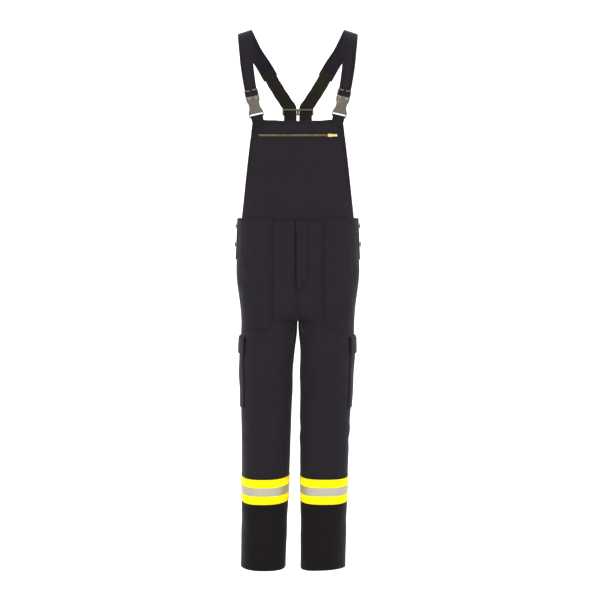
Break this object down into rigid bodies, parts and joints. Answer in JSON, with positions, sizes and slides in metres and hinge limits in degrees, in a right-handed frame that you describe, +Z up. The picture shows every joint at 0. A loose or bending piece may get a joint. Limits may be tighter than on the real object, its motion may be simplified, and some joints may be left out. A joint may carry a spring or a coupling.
{
  "type": "bib and brace trousers",
  "caption": "Dark navy firefighter's bib-and-brace trousers with zipped bib pocket, clip buckles, crossed elastic braces, cargo pockets and yellow-silver bands on the lower legs",
  "frame": {"origin": "on the middle plane, on the level line on which the two braces rest over the shoulders", "axes": "+Z up, the front faces -Y, +X is the wearer's left"},
  "size_m": [0.3858, 0.2729, 1.6496],
  "materials": {
    "navy_cloth": "matte",
    "lining_cloth": "matte",
    "elastic_webbing": "matte",
    "yellow_tape": "matte",
    "silver_tape": "satin",
    "zip_tape": "matte",
    "brass": "satin",
    "buckle_plastic": "satin",
    "dark_plastic": "satin",
    "hook_and_loop": "matte"
  },
  "bodies": {
    "garment": {"back_panel": "navy_cloth", "bib_facing": "lining_cloth", "bib_panel": "navy_cloth", "bib_pocket_bag": "lining_cloth", "bib_zip_tape": "zip_tape", "bib_zip_teeth_lower": "brass", "bib_zip_teeth_upper": "brass", "brace_strap_left": "navy_cloth", "brace_strap_right": "navy_cloth", "buckle_plug_left": "buckle_plastic", "buckle_plug_right": "buckle_plastic", "buckle_socket_left": "buckle_plastic", "buckle_socket_right": "buckle_plastic", "cargo_pocket_left": "navy_cloth", "cargo_pocket_right": "navy_cloth", "elastic_strap_left": "elastic_webbing", "elastic_strap_right": "elastic_webbing", "flap_loop_left": "hook_and_loop", "flap_loop_right": "hook_and_loop", "fly_cover": "navy_cloth", "fly_zip_tape": "zip_tape", "fly_zip_teeth_left": "brass", "fly_zip_teeth_right": "brass", "front_pocket_left": "navy_cloth", "front_pocket_right": "navy_cloth", "hi_vis_band_left": "yellow_tape", "hi_vis_band_right": "yellow_tape", "leg_back_left": "navy_cloth", "leg_back_right": "navy_cloth", "leg_front_left": "navy_cloth", "leg_front_right": "navy_cloth", "seat_pocket_left": "navy_cloth", "seat_pocket_right": "navy_cloth", "side_button_1_left": "dark_plastic", "side_button_1_right": "dark_plastic", "side_button_2_left": "dark_plastic", "side_button_2_right": "dark_plastic", "side_placket_left": "navy_cloth", "side_placket_right": "navy_cloth", "silver_stripe_left": "silver_tape", "silver_stripe_right": "silver_tape", "strap_tab_left": "navy_cloth", "strap_tab_right": "navy_cloth", "waistband_back": "navy_cloth", "waistband_front_left": "navy_cloth", "waistband_front_right": "navy_cloth"},
    "bib_zip_slider": {"bib_zip_slider": "brass"},
    "bib_zip_pull": {"bib_zip_pull": "brass"},
    "fly_zip": {"fly_zip_slider": "brass", "fly_zip_pull": "brass"},
    "cargo_flap_left": {"cargo_flap_left": "navy_cloth", "flap_hook_left": "hook_and_loop"},
    "cargo_flap_right": {"cargo_flap_right": "navy_cloth", "flap_hook_right": "hook_and_loop"},
    "back_cross_piece": {"back_cross_piece": "dark_plastic"},
    "latch_arm_outer_left": {"latch_arm_outer_left": "buckle_plastic"},
    "latch_arm_inner_left": {"latch_arm_inner_left": "buckle_plastic"},
    "latch_arm_outer_right": {"latch_arm_outer_right": "buckle_plastic"},
    "latch_arm_inner_right": {"latch_arm_inner_right": "buckle_plastic"}
  },
  "joints": [
    {"name": "bib_zip_run", "type": "slide", "parent": "garment", "child": "bib_zip_slider", "axis": [-1, 0, 0], "range_m": [0, 0.205]},
    {"name": "bib_zip_pull_swing", "type": "hinge", "parent": "bib_zip_slider", "child": "bib_zip_pull", "pos_m": [0.095, -0.127, -0.316], "axis": [0, 0, -1], "range_deg": [0, 160]},
    {"name": "fly_zip_run", "type": "slide", "parent": "garment", "child": "fly_zip", "axis": [0, 0, -1], "range_m": [0, 0.155]},
    {"name": "cargo_flap_left_lift", "type": "hinge", "parent": "garment", "child": "cargo_flap_left", "pos_m": [0.17598, 0, -0.92097], "axis": [0, -1, 0], "range_deg": [0, 150]},
    {"name": "cargo_flap_right_lift", "type": "hinge", "parent": "garment", "child": "cargo_flap_right", "pos_m": [-0.17782, 0, -0.92097], "axis": [0, 1, 0], "range_deg": [0, 150]},
    {"name": "latch_outer_left_press", "type": "hinge", "parent": "garment", "child": "latch_arm_outer_left", "pos_m": [0.14413, -0.1273, -0.20727], "axis": [0, 1, 0], "range_deg": [0, 7], "stiffness_Nm_per_rad": 0.05},
    {"name": "latch_inner_left_press", "type": "hinge", "parent": "garment", "child": "latch_arm_inner_left", "pos_m": [0.12464, -0.1273, -0.20278], "axis": [0, -1, 0], "range_deg": [0, 7], "stiffness_Nm_per_rad": 0.05},
    {"name": "latch_outer_right_press", "type": "hinge", "parent": "garment", "child": "latch_arm_outer_right", "pos_m": [-0.14413, -0.1273, -0.20727], "axis": [0, -1, 0], "range_deg": [0, 7], "stiffness_Nm_per_rad": 0.05},
    {"name": "latch_inner_right_press", "type": "hinge", "parent": "garment", "child": "latch_arm_inner_right", "pos_m": [-0.12464, -0.1273, -0.20278], "axis": [0, 1, 0], "range_deg": [0, 7], "stiffness_Nm_per_rad": 0.05},
    {"name": "cross_piece_slip", "type": "slide", "parent": "garment", "child": "back_cross_piece", "axis": [0, 0, -1], "range_m": [0, 0.06]}
  ],
  "couplings": [
    {"joint": "latch_inner_left_press", "follows": "latch_outer_left_press", "ratio": 1},
    {"joint": "latch_inner_right_press", "follows": "latch_outer_right_press", "ratio": 1}
  ]
}
